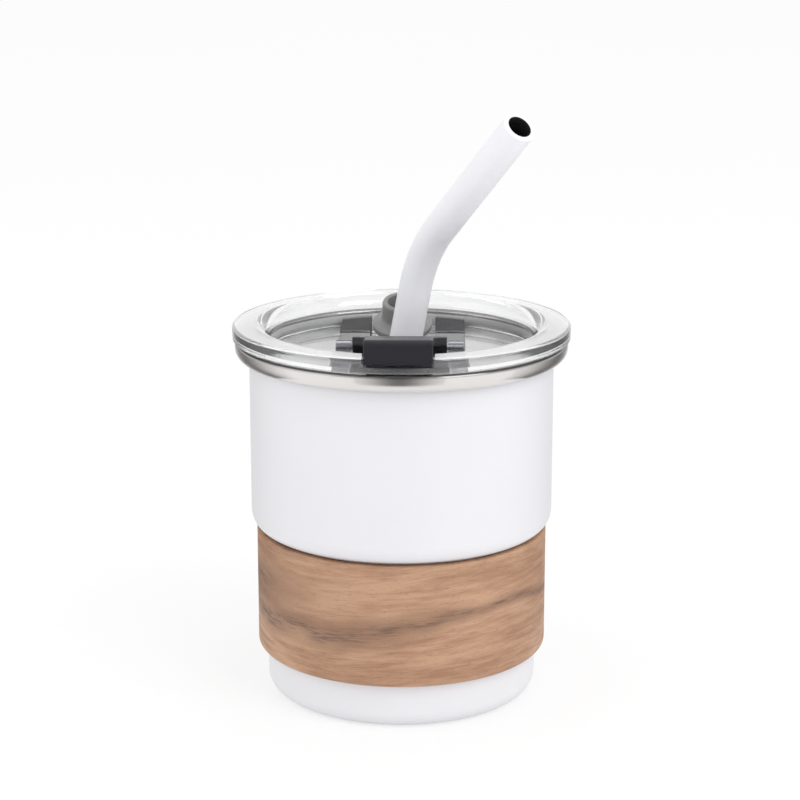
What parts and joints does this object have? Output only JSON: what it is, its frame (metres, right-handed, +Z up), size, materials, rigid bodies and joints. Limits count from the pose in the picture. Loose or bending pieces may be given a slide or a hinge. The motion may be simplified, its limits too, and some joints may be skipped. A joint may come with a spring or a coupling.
{
  "type": "tumbler with straw",
  "caption": "Insulated tumbler: white double-walled cup with a wooden band, clear press-in lid with a flip-up sip cap and a hinged straw stopper, and a bent drinking straw.",
  "frame": {"origin": "middle of the foot ring, on the surface the tumbler stands on", "axes": "+Z up along the cup's axis, -Y towards the sip cap at the front, +X to the right seen from the front"},
  "size_m": [0.0832, 0.0832, 0.1483],
  "materials": {
    "white_coat": "satin powder coat",
    "steel": "satin",
    "wood": "oiled",
    "seal_bead": "fused",
    "clear_plastic": "clear",
    "clear_silicone": "matte",
    "black_plastic": "satin",
    "grey_silicone": "matte",
    "pin_steel": "polished",
    "white_plastic": "satin"
  },
  "bodies": {
    "cup": {"outer_shell": "white_coat", "wood_band": "wood", "inner_liner": "steel", "liner_floor": "steel", "rolled_lip": "steel", "base_plate": "steel", "vacuum_seal": "seal_bead", "vacuum_getter": "steel"},
    "lid": {"lid_body": "clear_plastic", "lid_gasket": "clear_silicone"},
    "sip_cap": {"flip_cap": "black_plastic", "flip_cap_seal": "grey_silicone", "flip_hinge_pin": "pin_steel"},
    "stopper": {"straw_stopper": "grey_silicone", "stopper_hinge_pin": "pin_steel"},
    "drinking_straw": {"straw": "white_plastic"}
  },
  "joints": [
    {"name": "lid_lift", "type": "slide", "parent": "cup", "child": "lid", "axis": [0, 0, 1], "range_m": [0, 0.1]},
    {"name": "sip_cap_flip", "type": "hinge", "parent": "lid", "child": "sip_cap", "pos_m": [0, -0.02, 0.0917], "axis": [-1, 0, 0], "range_deg": [0, 95]},
    {"name": "stopper_fold", "type": "hinge", "parent": "lid", "child": "stopper", "pos_m": [0, 0.0036, 0.0877], "axis": [1, 0, 0], "range_deg": [-17, 14]},
    {"name": "straw_pull", "type": "slide", "parent": "lid", "child": "drinking_straw", "axis": [0.1771, 0, 0.9842], "range_m": [0, 0.09]}
  ]
}
